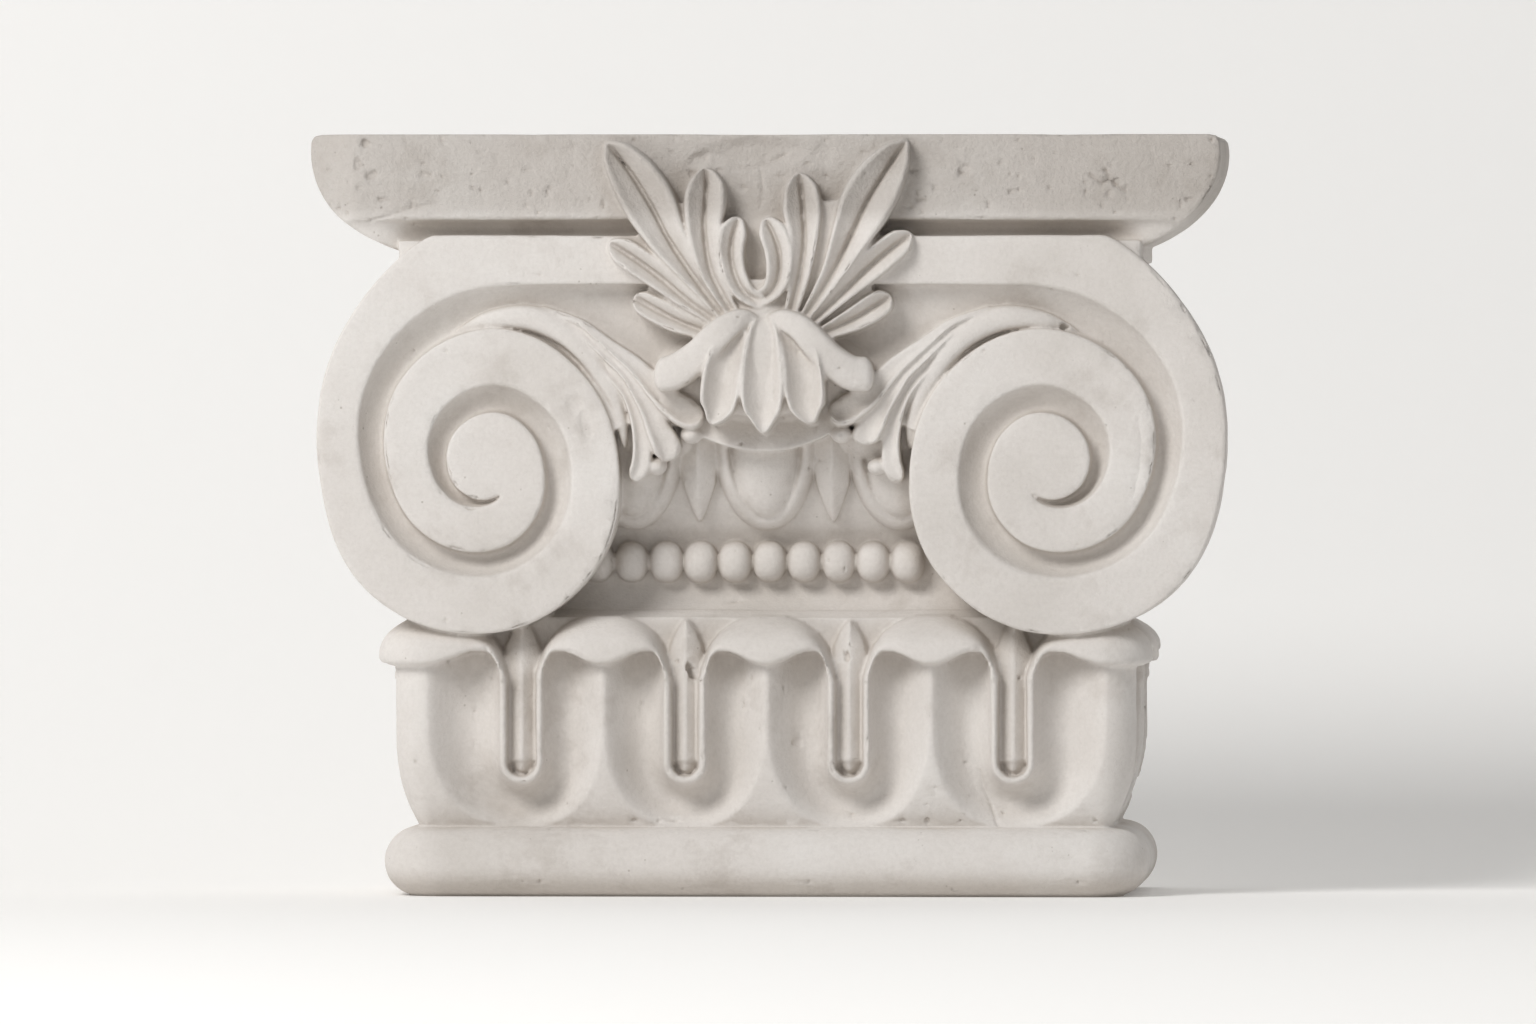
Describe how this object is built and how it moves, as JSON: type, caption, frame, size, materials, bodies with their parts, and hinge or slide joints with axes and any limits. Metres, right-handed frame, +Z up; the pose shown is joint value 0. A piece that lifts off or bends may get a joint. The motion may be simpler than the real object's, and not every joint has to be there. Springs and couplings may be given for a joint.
{
  "type": "ionic pilaster capital",
  "caption": "Half-depth Ionic pilaster capital, carved as one block: ovolo abacus, spiral volutes, palmette, egg-and-dart, bead row, leaf frieze and base roll.",
  "frame": {"origin": "middle of the bottom bed, half way through the depth of the block", "axes": "+X along the front to the right, +Y from the carved front to the flat back, +Z up"},
  "size_m": [0.4591, 0.203, 0.381],
  "materials": {
    "stone": "weathered off-white limestone, matt, with fine pores"
  },
  "bodies": {
    "root": {"capital": "stone"}
  },
  "joints": []
}
